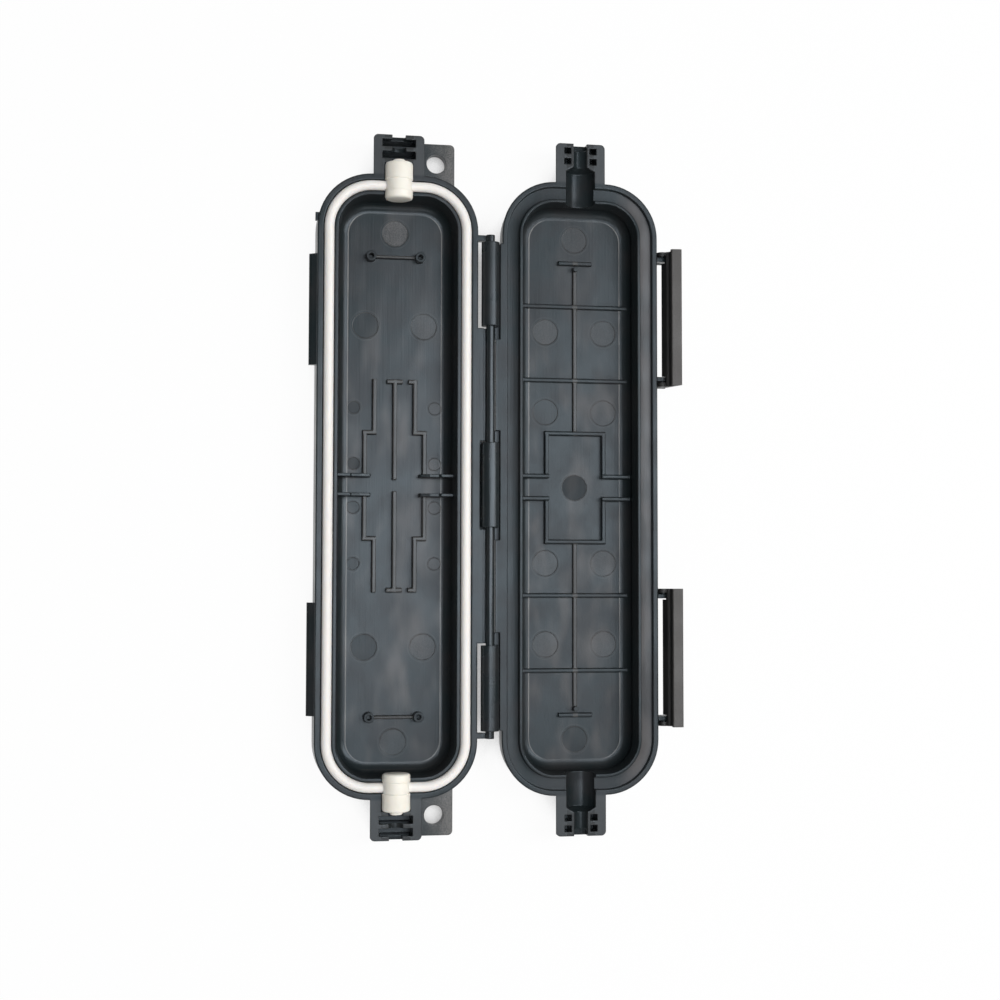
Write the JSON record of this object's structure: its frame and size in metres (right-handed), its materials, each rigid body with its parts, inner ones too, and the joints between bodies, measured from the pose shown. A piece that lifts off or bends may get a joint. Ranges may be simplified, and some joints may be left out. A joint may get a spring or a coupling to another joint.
{
  "type": "fibre protection box",
  "caption": "Slim hinged protection box for a fibre splice or coupler, with a silicone seal ring, cable plugs, swing latches and wall-screw ears, shown open.",
  "frame": {"origin": "middle of the base's flat back face", "axes": "+Z out of the open base, +Y along the box towards a cable neck, +X from the base to the hinge and the open lid"},
  "size_m": [0.0951, 0.177, 0.0142],
  "materials": {
    "shell_plastic": "satin moulded, dark bluish grey",
    "latch_plastic": "satin moulded, dark grey",
    "silicone": "soft white silicone"
  },
  "bodies": {
    "base": {"base_shell": "shell_plastic", "seal_gasket": "silicone"},
    "lid": {"lid_shell": "shell_plastic"},
    "upper_latch": {"latch_upper": "latch_plastic"},
    "lower_latch": {"latch_lower": "latch_plastic"}
  },
  "joints": [
    {"name": "lid_hinge", "type": "hinge", "parent": "base", "child": "lid", "pos_m": [0.0235, 0, 0.01015], "axis": [0, -1, 0], "range_deg": [0, 180]},
    {"name": "upper_latch_pivot", "type": "hinge", "parent": "lid", "child": "upper_latch", "pos_m": [0.0691, 0.04365, 0.0084], "axis": [0, -1, 0], "range_deg": [-50, 20]},
    {"name": "lower_latch_pivot", "type": "hinge", "parent": "lid", "child": "lower_latch", "pos_m": [0.0691, -0.04365, 0.0084], "axis": [0, -1, 0], "range_deg": [-50, 20]}
  ]
}
